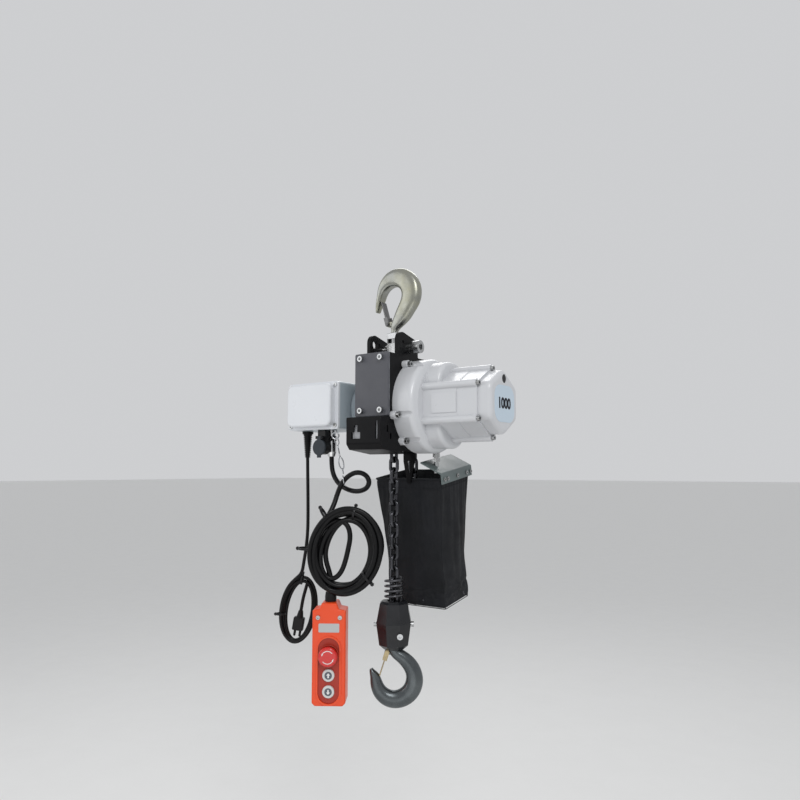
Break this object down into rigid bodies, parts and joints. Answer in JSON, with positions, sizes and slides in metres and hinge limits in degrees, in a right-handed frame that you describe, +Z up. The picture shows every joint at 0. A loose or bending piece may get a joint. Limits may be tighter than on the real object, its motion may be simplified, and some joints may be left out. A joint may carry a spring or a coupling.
{
  "type": "electric chain hoist",
  "caption": "Electric chain hoist with swivelling top hook, motor and gear case, control box, load hook on a chain, chain bag, wired pendant and mains lead.",
  "frame": {"origin": "centre of the top hook's bowl, where the hoist hangs", "axes": "+Z up, +X towards the motor's end, -Y is the front with the grey cover and the pendant"},
  "size_m": [0.4583, 0.2438, 0.7769],
  "materials": {
    "chain_steel": "satin",
    "machined_steel": "satin",
    "bearing_steel": "gloss",
    "grey_paint": "satin",
    "screw_steel": "satin",
    "guide_aluminium": "satin",
    "black_sheet": "satin",
    "hook_steel": "satin",
    "latch_steel": "satin",
    "block_iron": "satin",
    "spring_steel": "satin",
    "case_aluminium": "satin",
    "housing_aluminium": "satin",
    "lamination_steel": "matte",
    "winding_copper": "satin",
    "box_aluminium": "satin",
    "board_plastic": "matte",
    "soft_rubber": "matte",
    "gland_metal": "gloss",
    "black_plastic": "satin",
    "cord_rubber": "satin",
    "pendant_plastic": "gloss",
    "button_plastic": "gloss",
    "stop_plastic": "gloss",
    "bracket_steel": "satin",
    "bag_fabric": "matte"
  },
  "bodies": {
    "top_hook_body": {"top_hook": "hook_steel", "top_hook_nut": "screw_steel"},
    "top_latch_body": {"top_latch": "latch_steel"},
    "suspension": {"suspension_block": "machined_steel"},
    "hoist": {"wheel_links": "chain_steel", "stored_chain": "chain_steel", "load_bearings": "bearing_steel", "rotor_bearings": "bearing_steel", "left_side_plate": "black_sheet", "right_side_plate": "black_sheet", "frame_body": "black_sheet", "front_cover": "grey_paint", "case_screws": "screw_steel", "cross_bolt": "screw_steel", "motor_screws": "screw_steel", "panel_screws": "screw_steel", "bracket_bolts": "screw_steel", "chain_guide": "guide_aluminium", "lower_cover": "black_sheet", "gear_case": "case_aluminium", "motor_cover": "case_aluminium", "left_housing": "housing_aluminium", "stator": "lamination_steel", "brake_coil": "winding_copper", "control_box_base": "box_aluminium", "control_box_lid": "box_aluminium", "control_board": "board_plastic", "power_gland": "soft_rubber", "cord_gland": "gland_metal", "socket_body": "black_plastic", "power_cord": "cord_rubber", "power_hank": "cord_rubber", "pendant_cord": "cord_rubber", "pendant_coil": "cord_rubber", "power_plug": "black_plastic", "lanyard": "screw_steel", "pendant_sleeve": "soft_rubber", "pendant_case_front": "pendant_plastic", "pendant_case_back": "pendant_plastic", "pendant_switches": "black_plastic", "chain_bag": "bag_fabric", "bag_bracket": "bracket_steel", "bag_hanger": "black_sheet"},
    "load_wheel_body": {"load_wheel": "machined_steel", "output_gear": "machined_steel"},
    "layshaft_body": {"layshaft": "machined_steel"},
    "rotor_body": {"rotor": "machined_steel", "brake_disc": "machined_steel"},
    "load": {"load_chain": "chain_steel", "chain_spring": "spring_steel", "hook_block_front": "block_iron", "hook_block_rear": "block_iron", "hook_block_bolts": "screw_steel"},
    "slack": {"slack_chain": "chain_steel"},
    "lower_hook_body": {"lower_hook": "hook_steel"},
    "lower_latch_body": {"lower_latch": "latch_steel"},
    "socket_cap_body": {"socket_cap": "black_plastic"},
    "up_button_body": {"up_button": "button_plastic"},
    "down_button_body": {"down_button": "button_plastic"},
    "stop_button_body": {"stop_button": "stop_plastic"}
  },
  "joints": [
    {"name": "top_hook_swivel", "type": "hinge", "parent": "top_hook_body", "child": "suspension", "pos_m": [0, 0, -0.08], "axis": [0, 0, 1], "continuous": true},
    {"name": "suspension_pivot", "type": "hinge", "parent": "suspension", "child": "hoist", "pos_m": [0, 0, -0.098], "axis": [1, 0, 0], "range_deg": [-10, 10]},
    {"name": "top_latch_hinge", "type": "hinge", "parent": "top_hook_body", "child": "top_latch_body", "pos_m": [-0.0125, 0, -0.051], "axis": [0, 1, 0], "range_deg": [0, 35], "stiffness_Nm_per_rad": 0.02, "springref_deg": -20.05},
    {"name": "rotor_turn", "type": "hinge", "parent": "hoist", "child": "rotor_body", "pos_m": [0.12, 0.028, -0.203], "axis": [1, 0, 0], "range_deg": [0, 2628]},
    {"name": "layshaft_turn", "type": "hinge", "parent": "hoist", "child": "layshaft_body", "pos_m": [0.05, 0.028, -0.16175], "axis": [1, 0, 0], "range_deg": [-584.5, 0]},
    {"name": "wheel_turn", "type": "hinge", "parent": "hoist", "child": "load_wheel_body", "pos_m": [0, 0.028, -0.203], "axis": [1, 0, 0], "range_deg": [0, 129.88]},
    {"name": "load_lower", "type": "slide", "parent": "hoist", "child": "load", "axis": [0, 0, -1], "range_m": [0, 0.0701], "deforming": ["wheel_links"]},
    {"name": "slack_rise", "type": "slide", "parent": "hoist", "child": "slack", "axis": [0, 0, 1], "range_m": [0, 0.0701]},
    {"name": "lower_hook_swivel", "type": "hinge", "parent": "load", "child": "lower_hook_body", "pos_m": [0, -0.00291, -0.608], "axis": [0, 0, 1], "continuous": true},
    {"name": "lower_latch_hinge", "type": "hinge", "parent": "lower_hook_body", "child": "lower_latch_body", "pos_m": [-0.00964, -0.00917, -0.631], "axis": [-0.5446, 0.8387, 0], "range_deg": [-35, 0], "stiffness_Nm_per_rad": 0.02, "springref_deg": 20.05},
    {"name": "socket_cap_hinge", "type": "hinge", "parent": "hoist", "child": "socket_cap_body", "pos_m": [-0.1345, -0.052, -0.256], "axis": [1, 0, 0], "range_deg": [-90, 0]},
    {"name": "up_press", "type": "slide", "parent": "hoist", "child": "up_button_body", "axis": [-0.5446, 0.8387, 0], "range_m": [0, 0.004], "stiffness_N_per_m": 500, "springref_m": -0.002},
    {"name": "down_press", "type": "slide", "parent": "hoist", "child": "down_button_body", "axis": [-0.5446, 0.8387, 0], "range_m": [0, 0.004], "stiffness_N_per_m": 500, "springref_m": -0.002},
    {"name": "stop_press", "type": "slide", "parent": "hoist", "child": "stop_button_body", "axis": [-0.5446, 0.8387, 0], "range_m": [0, 0.004], "stiffness_N_per_m": 500, "springref_m": -0.002}
  ],
  "couplings": [
    {"joint": "wheel_turn", "follows": "rotor_turn", "ratio": 0.049383},
    {"joint": "layshaft_turn", "follows": "rotor_turn", "ratio": -0.22222},
    {"joint": "load_lower", "follows": "rotor_turn", "m_per_rad": 0.0015261},
    {"joint": "slack_rise", "follows": "rotor_turn", "m_per_rad": 0.0015261}
  ]
}
